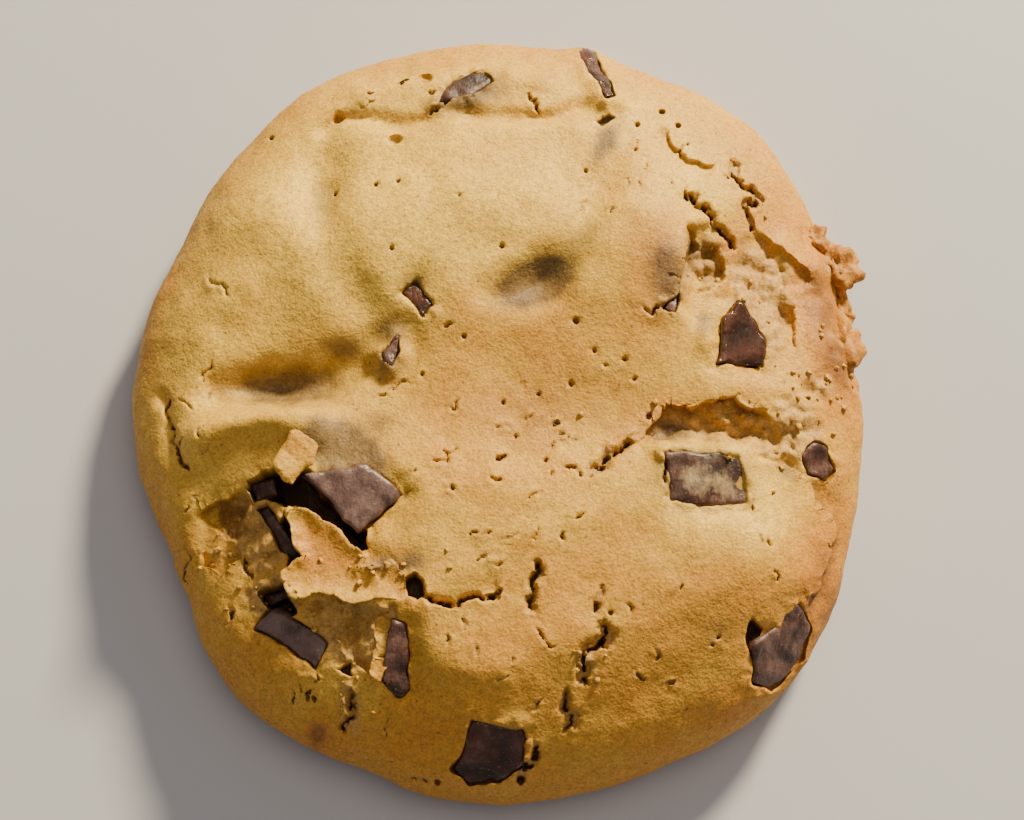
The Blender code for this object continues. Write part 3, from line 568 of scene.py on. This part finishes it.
class Relief:
    """Height, sideways shift, finish and painted shade of the dough at many places at once."""

    def __init__(self, x, y):
        self.x, self.y = x, y
        self.place = (x + 0.22 * noise_field(x, y, 2.2, 1, 2), y + 0.22 * noise_field(x, y, 2.2, 2, 2))
        self.uneven = noise_field(x, y, 1.5, 3, 2)
        self.broken = noise_field(x, y, 0.7, 5, 1)
        self.height = dome_height(x, y)
        self.hold = np.minimum(1, 3 * dome_share(x, y))
        self.crack, self.loose, self.shift_x, self.shift_y = np.zeros((4, len(x)))

    def around(self, points, reach):
        where = near(*self.place, points, reach)
        return where, self.place[0][where], self.place[1][where]

    def push(self, amount, where=slice(None)):
        self.height[where] = np.minimum(TALLEST, self.height[where] + amount * self.hold[where])

    def draw_to(self, level, share, where):
        self.height[where] += (level - self.height[where]) * share

    # Painted shade: darkens the colour where shade falls in recesses.
    def paint_shade(self, amount, where):
        self.crack[where] = np.maximum(self.crack[where], amount)

    def lean(self, path_x, path_y, amount, where):
        self.shift_x[where] += path_x * amount
        self.shift_y[where] += path_y * amount

    def wide_forms(self):
        for *place, amount in SWELLS:
            self.height = self.height + amount * swell(self.x, self.y, *place) * self.hold
        for amount, width, points in ROLLS:
            where, x, y = self.around(points, 3 * width)
            self.push(amount * np.exp(-(Path(x, y, points).distance / width) ** 2), where)
        over = np.maximum(0, self.height - SOFT_TOP)
        self.height = np.minimum(self.height, SOFT_TOP + over / (1 + over))

    def ledges(self):
        for drop, wall, reach, overhang, points in TORN_LEDGES:
            where, x, y = self.around(points, 2.5 * reach)
            path = Path(x, y, points)
            ends = path.ends(0.2 * path.length)
            below = np.where(path.side < 0, path.distance, 0)
            above = np.where(path.side > 0, path.distance, 0)
            fall = ease(below, 0, wall) * np.exp(-(np.maximum(0, below - wall) / reach) ** 2)
            self.push(-drop * fall * ends, where)
            lean = np.exp(-(above / 1.3) ** 2) * np.clip(1 - below / wall, 0, 1) * ends * overhang
            self.lean(path.out_x, path.out_y, lean, where)
            # Painted shade at the foot of the torn lip, where the overhang shades the low ground.
            foot_shade = ease(below, 0, wall) * np.exp(-(below / (wall + 0.5)) ** 2)
            self.paint_shade(0.7 * min(1, drop / 1.5) * foot_shade * ends, where)

    def gaps(self):
        for depth, wall, shade_inside, ring in TORN_GAPS:
            where, x, y = self.around(ring, 1.5)
            edge = patch_distance(x, y, ring)
            self.push(-depth * (1 - ease(edge, -wall, 0.05)), where)
            inside = 1 - ease(edge, -0.5 * wall, 0.0)
            # Painted shade inside the hole where a piece of crust is missing.
            self.paint_shade(shade_inside * inside, where)
            self.loose[where] = np.maximum(self.loose[where], inside)
            if shade_inside < 0.5:
                lumps = 1.3 * lump_field(x, y, 1.7, 12) + 0.6 * noise_field(x, y, 2.6, 13)
                self.push(inside * (lumps - 0.4), where)
                # Painted shade in the hollows between the lumps.
                self.paint_shade(0.2 * inside * (1 - ease(lumps, 0.1, 0.7)), where)

    def flaps(self):
        for level, wall, overhang, ring in TORN_FLAPS:
            where, x, y = self.around(ring, 2.0)
            path = Path(x, y, ring)
            edge = patch_distance(x, y, ring)
            grain = 0.25 * self.uneven[where]
            curl = 0.6 * ease(edge, -1.4, 0.0)
            self.draw_to(level + grain + curl, 1 - ease(edge, 0.0, wall), where)
            reach = np.where(edge < 0, np.exp(-edge ** 2), np.clip(1 - edge / wall, 0, 1))
            outward = overhang * winding(ring) * reach
            self.lean(path.out_x, path.out_y, outward, where)
            self.crack[where] *= ease(edge, -0.2, 0.3)
            self.loose[where] *= ease(edge, -0.2, 0.3)

    def crumbs(self):
        loose = np.zeros(len(self.x))
        for *place, amount in CRUMBLED:
            loose = np.maximum(loose, amount * swell(*self.place, *place))
        self.loose = ease(loose + 0.12 * self.uneven, 0.3, 0.65)
        where = np.flatnonzero(self.loose > 0.02)
        x, y = self.x[where], self.y[where]
        small = lump_field(x, y, 0.95, 9)
        lumps = 1.2 * lump_field(x, y, 2.3, 8) + 0.4 * small + 0.5 * noise_field(x, y, 3.5, 10)
        self.push(self.loose[where] * (lumps - 0.95), where)
        # Painted shade in the hollows between crumb lumps.
        self.paint_shade(self.loose[where] * 0.4 * (1 - ease(lumps, 0.35, 1.1)), where)

    def sockets(self):
        for seat in SEATS:
            where, x, y = self.around(seat.ring, 3 * LIP_REACH)
            edge = patch_distance(x, y, seat.ring)
            level = seat.level(self.x[where], self.y[where])
            if seat.lip is not NO_LIP:
                lip = level + seat.lip + 0.45 * self.uneven[where]
                self.draw_to(lip, 0.9 * np.exp(-(np.maximum(edge, 0) / LIP_REACH) ** 2), where)
            depth = SOCKET_DEPTH * (1 - 0.8 * seat.looks["film"])
            floor = np.minimum(self.height[where], level - depth)
            self.draw_to(floor, 1 - ease(edge, -0.15, 0.2), where)
            # Painted shade: a dark ring round each chunk where the dough meets it, weaker round the filmed ones.
            socket_shade = 0.6 - 0.4 * seat.looks["film"]
            self.paint_shade(socket_shade * (1 - ease(edge + 0.3 * self.broken[where], -0.1, 0.25)), where)

    def tears(self):
        for half_width, depth, slit_width, slit_depth, points in TORN_TEARS:
            where, x, y = self.around(points, half_width + 1.5)
            path = Path(x, y, points)
            uneven, broken = self.uneven[where], self.broken[where]
            ends = path.ends(min(1.5, 0.35 * path.length))
            aside = np.abs(path.side * path.distance - 0.5 * half_width * uneven)
            gap = aside - half_width * (1 + 0.6 * uneven) * ends
            opening = (1 - ease(gap, -0.12, 0.06)) * ends
            slit = (1 - ease(path.distance - 0.8 * slit_width * (1 + 0.7 * uneven) * ends, -0.06, 0.06)) * ends
            slit = slit * ease(broken, -0.25, 0.05)
            lip = np.exp(-((gap - 0.3) / 0.3) ** 2) * ends
            self.push(0.10 * lip - depth * opening - slit_depth * slit, where)
            # Painted shade: lightly in the opening, fully in the thin slit.
            self.paint_shade(np.maximum(0.3 * opening, slit), where)
            self.loose[where] = np.maximum(self.loose[where], opening)

    def pores(self):
        for pore_x, pore_y, radius in PORES:
            where, x, y = self.around(((pore_x, pore_y),), 2 * radius)
            hole = 1 - ease(np.hypot(x - pore_x, y - pore_y), 0.4 * radius, radius)
            self.push(-0.8 * hole, where)
            # Painted shade in each pore, darker in the smaller ones.
            self.paint_shade(min(1, 0.35 / radius) * hole, where)

# %% [markdown]
# ## The dough's mesh
# A square grid is spread over the outline, so that all its squares stay about as large as
# each other, where rings round a middle point would crowd there. The grid is then split
# finer only near cracks, torn edges, crumbs and sockets, which need it. Its rim is extruded
# down to the flat base in a few steps, and one face closes the base.

# %% Make the dough
CELLS = 150
RIM_CROWDING = 1.35
SIDE_STEPS = 8
FINE_REACH = 1.3
FINEST_REACH = 0.5

def grid_to_disc(x, y):
    round_x = x * np.sqrt(1 - y * y / 2)
    round_y = y * np.sqrt(1 - x * x / 2)
    share = np.minimum(1.0, np.hypot(round_x, round_y))
    share = 1 - (1 - share) ** RIM_CROWDING
    return outline_point(np.arctan2(round_y, round_x), share)

def detail_distance(x, y):
    """Distance to the nearest thin feature."""
    nearest = np.full(len(x), 9.0)
    paths = [row[-1] for row in TORN_LEDGES + TORN_GAPS + TORN_FLAPS + TORN_TEARS] + [seat.ring for seat in SEATS]
    for points in paths:
        where = near(x, y, points, 2 * FINE_REACH)
        nearest[where] = np.minimum(nearest[where], Path(x[where], y[where], points).distance)
    for pore_x, pore_y, radius in PORES:
        nearest = np.minimum(nearest, np.abs(np.hypot(x - pore_x, y - pore_y) - 0.7 * radius))
    return nearest

def split_near_detail(mesh, reach, crumb_reach):
    places = np.array([vertex.co[:2] for vertex in mesh.verts])
    x, y = places[:, 0], places[:, 1]
    chosen = detail_distance(x, y) < reach
    for *place, amount in CRUMBLED:
        chosen |= amount * swell(x, y, *place) > crumb_reach
    mesh.verts.index_update()
    edges = [edge for edge in mesh.edges
             if not edge.is_boundary and chosen[edge.verts[0].index] and chosen[edge.verts[1].index]]
    bmesh.ops.subdivide_edges(mesh, edges=edges, cuts=1, use_grid_fill=True)

def close_side(mesh):
    rim = [edge for edge in mesh.edges if edge.is_boundary]
    for step in range(1, SIDE_STEPS + 1):
        fall = math.radians(90 * step / SIDE_STEPS)
        level = EDGE_HEIGHT * (1 - math.sin(fall))
        made = bmesh.ops.extrude_edge_only(mesh, edges=rim)["geom"]
        rim = [item for item in made if isinstance(item, bmesh.types.BMEdge)]
        ring = [item for item in made if isinstance(item, bmesh.types.BMVert)]
        for vertex in ring:
            x, y = outline_point(math.atan2(vertex.co.y, vertex.co.x), 1.0)
            tuck = BASE_TUCK * (1 - math.cos(fall)) / math.hypot(x, y)
            vertex.co = (x * (1 - tuck) * MM, y * (1 - tuck) * MM, level * MM)
    bmesh.ops.contextual_create(mesh, geom=rim)
    bmesh.ops.recalc_face_normals(mesh, faces=mesh.faces)

def roughen(mesh):
    """Lumps and grain along the surface's own direction, none on the flat base."""
    mesh.normal_update()
    moves = []
    for vertex in mesh.verts:
        place = vertex.co / MM
        ragged = math.exp(-((place.x - 43) / 4) ** 2 - ((place.y - 11) / 10) ** 2)
        lumps = 0.30 * noise.fractal(place / 8.0, 1.0, 2.0, 2)
        small = (0.13 + 0.5 * ragged) * noise.fractal(place / 2.2, 1.0, 2.0, 2)
        grain = 0.045 * noise.fractal(place / 0.8, 1.0, 2.0, 1)
        moves.append(vertex.normal * (lumps + small + grain) * MM * min(1, max(0, place.z - 0.2)))
    for vertex, move in zip(mesh.verts, moves):
        vertex.co += move

def paint(thing, name, values):
    layer = thing.data.attributes.new(name, "FLOAT", "POINT")
    layer.data.foreach_set("value", np.asarray(values, dtype=np.float32))

def bake_and_light_map(x, y, z):
    """How brown each place is painted: 0 pale, 1 brown, from baking and partly from painted light and shade."""
    brown = 0.10 + 0.30 * ease(outline_share(x, y), 0.8, 1.0) + 0.30 * (1 - ease(z, 1.0, 7.0))
    for *place, amount in BROWNING_AND_LIGHT:
        brown = brown + amount * swell(x, y, *place)
    return brown

def stain_and_shade_map(x, y):
    grey = np.zeros(len(x))
    for *place, amount in STAINS_AND_SHADE:
        grey = np.maximum(grey, amount * swell(x, y, *place))
    return grey

def make_dough():
    mesh = bmesh.new()
    bmesh.ops.create_grid(mesh, x_segments=CELLS, y_segments=CELLS, size=1.0)
    flat = np.array([vertex.co[:2] for vertex in mesh.verts])
    for vertex, x, y in zip(mesh.verts, *grid_to_disc(flat[:, 0], flat[:, 1])):
        vertex.co = (x, y, 0)
    split_near_detail(mesh, FINE_REACH, 0.3)
    split_near_detail(mesh, FINEST_REACH, 2.0)
    flat = np.array([vertex.co[:2] for vertex in mesh.verts])
    relief = Relief(flat[:, 0], flat[:, 1])
    relief.wide_forms()
    relief.crumbs()
    relief.ledges()
    relief.sockets()
    relief.gaps()
    relief.flaps()
    relief.tears()
    relief.pores()
    places = np.stack((relief.x + relief.shift_x, relief.y + relief.shift_y, relief.height), axis=1) * MM
    for vertex, place in zip(mesh.verts, places):
        vertex.co = place
    close_side(mesh)
    roughen(mesh)
    bmesh.ops.triangulate(mesh, faces=[face for face in mesh.faces if len(face.verts) > 4])
    dough = new_object("dough_crust", mesh)
    count = len(dough.data.vertices)
    place = np.array([vertex.co for vertex in dough.data.vertices]) / MM
    x, y, z = place.T
    crack, loose = np.zeros((2, count))
    crack[:len(relief.crack)] = relief.crack
    loose[:len(relief.loose)] = relief.loose
    paint(dough, "crack", crack)
    paint(dough, "crumb", loose)
    paint(dough, "bake", bake_and_light_map(x, y, z))
    paint(dough, "stain_and_shade", stain_and_shade_map(x, y))
    return dough

dough = make_dough()
triangles = sum(len(face.vertices) - 2 for face in dough.data.polygons)
print("dough:", triangles, "triangles")

# %% [markdown]
# ## Writing shaders as sums
# A node tree drawn by hand hides the arithmetic. This small class wraps a socket, so that
# a mask can be written as an ordinary sum of Python, and one method adds every other node.

# %% Shader helpers
class Wire:
    def __init__(self, board, socket):
        self.board, self.socket = board, socket

    def sum(self, operation, first, second):
        return self.board.add("ShaderNodeMath", {"operation": operation}, {0: first, 1: second})

    def __add__(self, other):
        return self.sum("ADD", self, other)

    def __sub__(self, other):
        return self.sum("SUBTRACT", self, other)

    def __rsub__(self, other):
        return self.sum("SUBTRACT", other, self)

    def __mul__(self, other):
        return self.sum("MULTIPLY", self, other)

    def __truediv__(self, other):
        return self.sum("DIVIDE", self, other)

    def __pow__(self, other):
        return self.sum("POWER", self, other)

    __radd__ = __add__
    __rmul__ = __mul__

    def over(self, low, high):
        """0 below low, 1 above high."""
        return self.board.add("ShaderNodeMapRange", {"clamp": True},
                              {"Value": self, "From Min": low, "From Max": high})

class Board:
    """One material's node tree."""

    def __init__(self, name):
        self.material = bpy.data.materials.new(name)
        self.material.use_nodes = True
        self.tree = self.material.node_tree
        self.shader = self.tree.nodes["Principled BSDF"]
        self.place = self.add("ShaderNodeTexCoord", {}, {}, "Object")

    def add(self, kind, settings, inputs, output=0):
        node = self.tree.nodes.new(kind)
        for key, value in settings.items():
            setattr(node, key, value)
        for key, value in inputs.items():
            self.feed(node.inputs[key], value)
        return Wire(self, node.outputs[output])

    def feed(self, socket, value):
        if isinstance(value, Wire):
            self.tree.links.new(value.socket, socket)
        else:
            socket.default_value = value

    def noise(self, size, detail=2.0, rough=0.5, twist=0.0, place=None):
        """Noise from 0 to 1 with bumps about as wide as size, in millimetres."""
        return self.add("ShaderNodeTexNoise", {},
                        {"Vector": place or self.place, "Scale": 1 / (size * MM), "Detail": detail,
                         "Roughness": rough, "Distortion": twist})

    def cells(self, size, output="Distance", place=None, feature="F1"):
        return self.add("ShaderNodeTexVoronoi", {"feature": feature},
                        {"Vector": place or self.place, "Scale": 1 / (size * MM)}, output)

    def stretch(self, x, y, z, turn=(0, 0, 0)):
        return self.add("ShaderNodeMapping", {}, {"Vector": self.place, "Scale": (x, y, z), "Rotation": turn})

    def layer(self, name):
        return self.add("ShaderNodeAttribute", {"attribute_name": name}, {}, "Fac")

    def mix(self, share, under, over, blend="MIX"):
        """Lay one colour over another. Sockets 6 and 7 are the node's two colours."""
        return self.add("ShaderNodeMix", {"data_type": "RGBA", "blend_type": blend},
                        {0: share, 6: under, 7: over}, 2)

    def bump(self, height, distance, strength=1.0):
        return self.add("ShaderNodeBump", {}, {"Height": height, "Distance": distance * MM, "Strength": strength})

    def set(self, **values):
        for name, value in values.items():
            self.feed(self.shader.inputs[name.replace("_", " ")], value)

def tone(red, green, blue):
    """A colour in the numbers of a paint chart, from 0 to 255, made linear for the shader."""
    linear = [(value / 255 / 12.92 if value < 11 else ((value / 255 + 0.055) / 1.055) ** 2.4)
              for value in (red, green, blue)]
    return (*linear, 1.0)

# %% [markdown]
# ## Baked crust
# The crust is pale where the dough stayed soft and orange brown where it stood up to the
# heat, sandy from sugar and flour, and pricked with tiny pores painted dark as painted shade.
# Torn crumb inside is duller and rougher, and melted chocolate under a thin crust shows as a
# grey stain. Those patches were painted on the mesh as layers, and the shader only mixes
# them. Painted shade rides on the layers too: in cracks, gaps, socket rings and under torn
# lips, in a few hollows on the stain layer, and as painted light and shade in broad patches
# on the brown layer.

# %% Crust material
def crust_material():
    board = Board("baked_crust")
    bake, crack = board.layer("bake"), board.layer("crack")
    crumb, stain_and_shade = board.layer("crumb"), board.layer("stain_and_shade")
    broad = board.noise(9.0, 1.0)
    mottle = board.noise(2.6, 2.0, 0.6)
    speck = board.noise(0.75, 2.0, 0.65)
    grain = board.noise(0.32, 1.0, 0.6)
    # The brown layer holds baked browning and, in a few broad patches, painted light and shade.
    heat_and_light = bake + (broad - 0.5) * 0.7 + (mottle - 0.5) * 0.5 + (speck - 0.5) * 0.4
    crust = board.mix(heat_and_light.over(-0.1, 0.35), tone(228, 184, 72), tone(205, 152, 52))
    crust = board.mix(heat_and_light.over(0.3, 0.75), crust, tone(201, 134, 46))
    crust = board.mix(heat_and_light.over(0.7, 1.15), crust, tone(140, 88, 38))
    inner = board.mix(speck.over(0.35, 0.65), tone(218, 172, 96), tone(158, 116, 64))
    crust = board.mix(crumb * 0.85, crust, inner)
    film = board.mix(mottle.over(0.35, 0.65), tone(108, 86, 66), tone(62, 48, 42))
    # The stain layer greys real stains and also carries painted shade in some hollows.
    veil = (stain_and_shade + (mottle - 0.5) * 0.5 + (speck - 0.5) * 0.4).over(0.2, 0.85) * 0.8
    crust = board.mix(veil, crust, film)
    # Painted shade: tiny pores drawn as dark specks, with no hole in the surface.
    pores = (1 - board.cells(1.9).over(0.06, 0.12)) * mottle.over(0.42, 0.5)
    crust = board.mix(pores * 0.65, crust, tone(112, 72, 32))
    # Painted shade: cracks, gaps, socket rings, pores and the feet of torn lips are darkened toward deep brown.
    crust = board.mix(crack.over(0.1, 1.0) * 0.92, crust, tone(58, 38, 26))
    sandy = (speck * 0.5 + grain * 0.5).over(0.35, 0.65)
    crust = board.mix(1.0, crust, board.mix(sandy, (0.66, 0.62, 0.52, 1), (1.18, 1.18, 1.18, 1)), "MULTIPLY")
    height = grain * 0.6 + speck * 0.9 + mottle * 0.7
    board.set(Base_Color=crust, Roughness=0.74 - grain * 0.25, Normal=board.bump(height, 0.17, 0.7))
    board.shader.inputs["Specular IOR Level"].default_value = 0.4
    return board.material

baked_crust = crust_material()

def dress(thing, material, node=None):
    """Give a piece its material, hang it on the root body and hide the frame's solid it stands for."""
    thing.data.materials.append(material)
    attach(thing, "root")
    if node:
        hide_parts(node)

dress(dough, baked_crust, "dough")

# %% [markdown]
# ## Chocolate chunks
# A chunk is a block chopped from a bar: flat faces, chipped edges, softened a little by the
# oven. Each is drawn up from its corners, bevelled, split finer and pushed about by noise.
# How scuffed, filmed over or shiny it is goes on its mesh, so that one material serves all.

# %% Make the chunks
CHUNK_EDGE = 0.35

def split_all(mesh, times):
    """Split every edge in two, several times over."""
    bmesh.ops.triangulate(mesh, faces=mesh.faces)
    for _ in range(times):
        bmesh.ops.subdivide_edges(mesh, edges=mesh.edges[:], cuts=1, use_grid_fill=True)

def chunk_block(seat):
    mesh = bmesh.new()
    ring = [mesh.verts.new((x * MM, y * MM, seat.level(x, y) * MM)) for x, y in seat.ring[:-1]]
    face = mesh.faces.new(ring)
    face.normal_update()
    if face.normal.z < 0:
        face.normal_flip()
    outward = face.normal.copy()
    made = bmesh.ops.extrude_face_region(mesh, geom=[face])["geom"]
    lower = [item for item in made if isinstance(item, bmesh.types.BMVert)]
    bmesh.ops.translate(mesh, verts=lower, vec=-outward * seat.thickness * MM)
    bmesh.ops.recalc_face_normals(mesh, faces=mesh.faces)
    rims = [edge for edge in mesh.edges if edge.calc_face_angle(0) > 0.7]
    bmesh.ops.bevel(mesh, geom=rims, offset=CHUNK_EDGE * MM, segments=2, profile=0.5,
                    affect="EDGES", material=-1, clamp_overlap=True)
    split_all(mesh, 2)
    mesh.normal_update()
    for vertex in mesh.verts:
        place = vertex.co / MM
        dents = 0.45 * noise.fractal(place / 3.2 + Vector((seat.x, 0, 0)), 1.0, 2.0, 2)
        nicks = 0.07 * noise.fractal(place / 0.8, 1.0, 2.0, 2)
        vertex.co += vertex.normal * (dents + nicks) * MM
    return mesh

def chocolate_material():
    board = Board("dark_chocolate")
    scuff, film, shine = board.layer("scuff"), board.layer("film"), board.layer("shine")
    rim = board.layer("rim")
    broad = board.noise(3.0, 3.0, 0.6)
    streaks = board.noise(0.8, 4.0, 0.7, 1.5, board.stretch(1.0, 0.3, 1.0, (0, 0, 0.7)))
    dust = board.noise(0.3, 2.0, 0.7)
    bloom = (scuff + (broad - 0.5) * 2.0 + (streaks - 0.5) * 1.0).over(0.3, 1.2)
    colour = board.mix(broad.over(0.35, 0.65), tone(42, 25, 20), tone(84, 46, 34))
    colour = board.mix(bloom * 0.8, colour, tone(122, 98, 98))
    veil = (film * 0.8 - rim * 0.75 + (broad - 0.5) * 1.4 + (streaks - 0.5) * 0.8).over(0.3, 0.8) * film
    colour = board.mix(veil, colour, tone(156, 130, 96))
    colour = board.mix(dust.over(0.66, 0.74) * 0.6, colour, tone(190, 146, 88))
    board.set(Base_Color=colour, Roughness=bloom * 0.1 + veil * 0.25 + 0.48 - shine * 0.34,
              Normal=board.bump(broad * 1.2 + streaks * 0.4 + dust * 0.2, 0.3, 0.7))
    return board.material

dark_chocolate = chocolate_material()
for seat in SEATS:
    chunk = new_object(seat.name + "_chocolate", chunk_block(seat))
    for look, amount in seat.looks.items():
        paint(chunk, look, [amount] * len(chunk.data.vertices))
    place = np.array([vertex.co for vertex in chunk.data.vertices]) / MM
    inward = -patch_distance(place[:, 0], place[:, 1], seat.ring)
    paint(chunk, "rim", 1 - ease(inward, 0.4, 2.8))
    dress(chunk, dark_chocolate, seat.name)

# %% [markdown]
# ## Flakes of crust
# A flake is a thin piece of crust that came loose and bridges a hole or lies on a chunk.
# A flat outline is filled, split finer, made thick, thinned toward its torn edge and bent.

# %% Make the flakes
# name, thickness, height, lean along x and y, how brown, corners
FLAKES = (
    ("flake_on_west_chunk", 0.9, 18.0, -0.10, 0.0, 0.4,
     ((-20.6, -4.6), (-24.0, -5.0), (-25.9, -8.8), (-24.8, -10.8), (-23.6, -11.3), (-21.2, -8.9))),
    ("flake_by_east_chunk", 0.8, 14.6, -0.15, 0.1, 0.4,
     ((22.6, 11.4), (24.4, 12.4), (25.9, 13.0), (27.7, 14.0), (28.3, 12.3), (28.4, 11.0), (26.8, 10.0),
      (25.8, 9.5), (25.3, 8.5), (24.2, 9.0), (22.9, 10.4))),
)

def flake(thickness, level, lean_x, lean_y, corners):
    mesh = bmesh.new()
    ring = jagged(closed(corners), 0.12, 2)
    face = mesh.faces.new([mesh.verts.new((x * MM, y * MM, 0)) for x, y in ring[:-1]])
    split_all(mesh, 4)
    bmesh.ops.solidify(mesh, geom=mesh.faces[:], thickness=thickness * MM)
    places = np.array([vertex.co for vertex in mesh.verts]) / MM
    middle = (places[:, 2].min() + places[:, 2].max()) / 2
    inward = -patch_distance(places[:, 0], places[:, 1], ring)
    centre = np.mean(corners, axis=0)
    for vertex, place, depth in zip(mesh.verts, places, inward):
        body = (place[2] - middle) * (0.25 + 0.75 * min(1, max(0, depth / 0.6)) ** 0.5)
        bend = 0.35 * noise.noise(Vector((place[0] / 3, place[1] / 3, level)))
        grain = 0.08 * noise.noise(Vector(place) / 0.7)
        tilt = lean_x * (place[0] - centre[0]) + lean_y * (place[1] - centre[1])
        vertex.co.z = (level + body + bend + grain + tilt) * MM
    bmesh.ops.recalc_face_normals(mesh, faces=mesh.faces)
    return mesh

for name, thickness, level, lean_x, lean_y, brown, corners in FLAKES:
    piece = new_object(name, flake(thickness, level, lean_x, lean_y, corners))
    paint(piece, "bake", [brown] * len(piece.data.vertices))
    dress(piece, baked_crust)
print(len(FLAKES), "flakes")

# %% [markdown]
# ## Lumps and crumbs
# Where the crust tore, lumps hang from the rim and crumbs lie about. A lump is a ball
# squashed to size and dented by noise. The crumbs could be a particle system, but a plain
# loop drops each ball onto the dough and joins them in one piece.

# %% Make the lumps and crumbs
# x, y, z, radii
RIM_LUMPS = (
    (42.0, 17.4, 7.3, 2.6, 3.0, 2.2), (41.5, 7.4, 7.8, 2.5, 3.6, 2.2), (39.0, 20.8, 7.6, 1.8, 2.0, 1.6),
    (42.2, 12.2, 5.4, 1.6, 2.2, 1.8), (42.6, 2.4, 5.6, 1.2, 1.4, 1.2), (36.0, 14.8, 9.6, 1.3, 1.6, 1.2),
)
CRUMBS = 120

def add_lump(mesh, centre, radii, dents, level):
    made = bmesh.ops.create_icosphere(mesh, subdivisions=level, radius=1.0)["verts"]
    for vertex in made:
        ball = vertex.co.copy()
        push = 1 + dents * noise.fractal(ball * 1.6 + Vector(centre), 1.0, 2.0, 3)
        vertex.co = Vector([(c + b * push * r) * MM for c, b, r in zip(centre, ball, radii)])

def rim_lumps():
    mesh = bmesh.new()
    for x, y, z, *radii in RIM_LUMPS:
        add_lump(mesh, (x, y, z), radii, 0.55, 4)
    return mesh

def loose_crumbs(ground):
    luck = random.Random(11)
    mesh = bmesh.new()
    while len(mesh.verts) < CRUMBS * 42:
        x, y, along, across, turn, amount = luck.choice(CRUMBLED)
        x += luck.gauss(0, 0.6 * along)
        y += luck.gauss(0, 0.6 * across)
        hit = ground.ray_cast(Vector((x, y, 40)) * MM, Vector((0, 0, -1)))[0]
        if hit and outline_share(x, y) < 0.99:
            size = luck.uniform(0.15, 0.42)
            radii = [size * luck.uniform(0.7, 1.2) for _ in range(3)]
            add_lump(mesh, (x, y, hit.z / MM + 0.3 * size), radii, 0.8, 2)
    return mesh

ground = BVHTree.FromPolygons([vertex.co for vertex in dough.data.vertices],
                              [face.vertices for face in dough.data.polygons])
BITS = (("rim_lumps", rim_lumps(), 0.85, 0.1), ("loose_crumbs", loose_crumbs(ground), 0.3, 0.6))
for name, mesh, brown, torn in BITS:
    piece = new_object(name, mesh)
    paint(piece, "bake", [brown] * len(piece.data.vertices))
    paint(piece, "crumb", [torn] * len(piece.data.vertices))
    dress(piece, baked_crust)
    print(name, len(piece.data.polygons), "faces")
